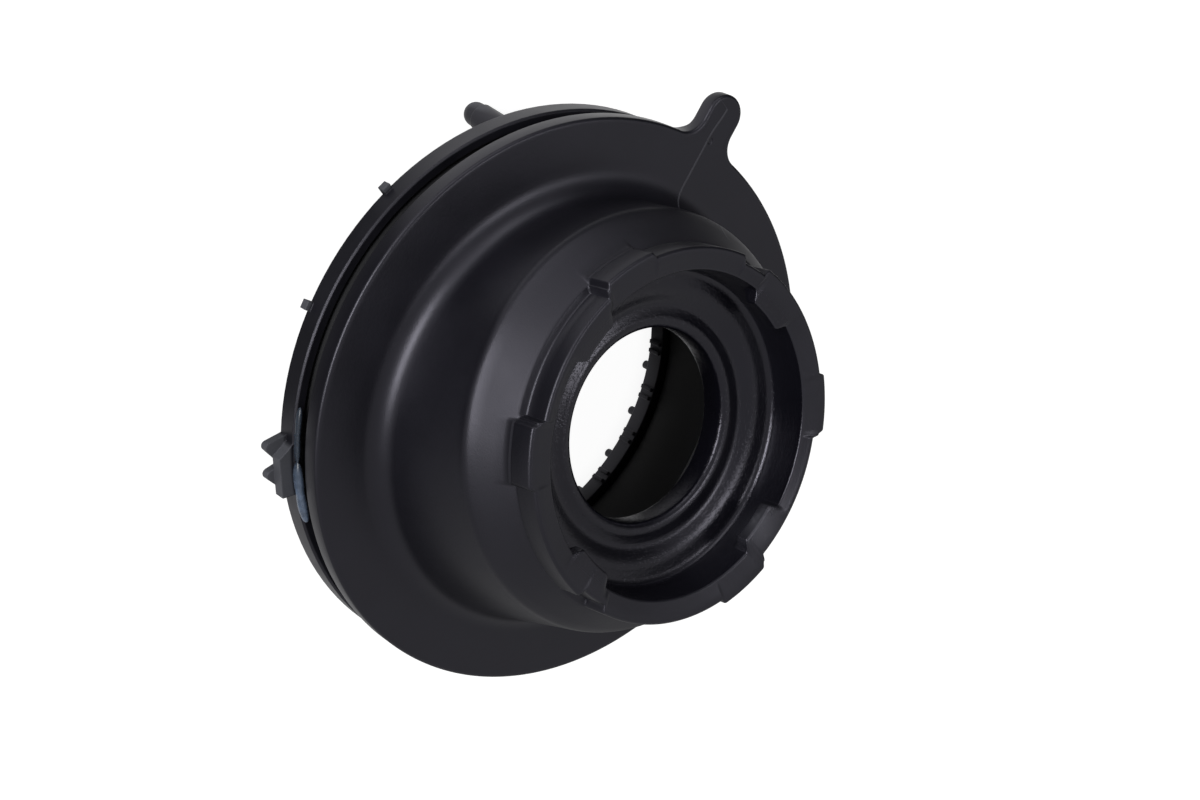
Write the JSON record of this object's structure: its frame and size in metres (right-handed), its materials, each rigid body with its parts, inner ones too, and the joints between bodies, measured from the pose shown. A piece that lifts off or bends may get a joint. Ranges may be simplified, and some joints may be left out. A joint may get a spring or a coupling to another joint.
{
  "type": "strut mount",
  "caption": "Rubber coil spring seat with a flange and a leaning stepped neck, clipped through a ball bearing to a ribbed plastic cap so that spring and strut can swivel with the steering.",
  "frame": {"origin": "on the bearing axis, in the plane of the cap's seat face", "axes": "+Z along the bearing axis, from the cap towards the spring; -X through the flange's lug, towards which the neck leans"},
  "size_m": [0.1418, 0.1303, 0.0708],
  "materials": {
    "cap_plastic": "black glass-filled nylon, fine moulded grain",
    "carrier_plastic": "black glass-filled nylon, satin",
    "seat_rubber": "black moulded rubber, satin",
    "seal_rubber": "black nitrile rubber, matt",
    "race_steel": "pressed and hardened, fine satin",
    "ball_steel": "polished bearing steel",
    "cage_plastic": "natural nylon, satin"
  },
  "bodies": {
    "cap": {"bearing_cap": "cap_plastic", "cap_race": "race_steel"},
    "ball_set": {"balls": "ball_steel", "ball_cage": "cage_plastic"},
    "seat": {"spring_seat": "seat_rubber", "carrier_ring": "carrier_plastic", "seat_race": "race_steel", "inner_seal": "seal_rubber", "outer_seal": "seal_rubber"}
  },
  "joints": [
    {"name": "swivel", "type": "hinge", "parent": "cap", "child": "seat", "pos_m": [0, 0, 0.0126], "axis": [0, 0, 1], "continuous": true},
    {"name": "ball_orbit", "type": "hinge", "parent": "cap", "child": "ball_set", "pos_m": [0, 0, 0.0126], "axis": [0, 0, 1], "continuous": true}
  ],
  "couplings": [
    {"joint": "ball_orbit", "follows": "swivel", "ratio": 0.5}
  ]
}
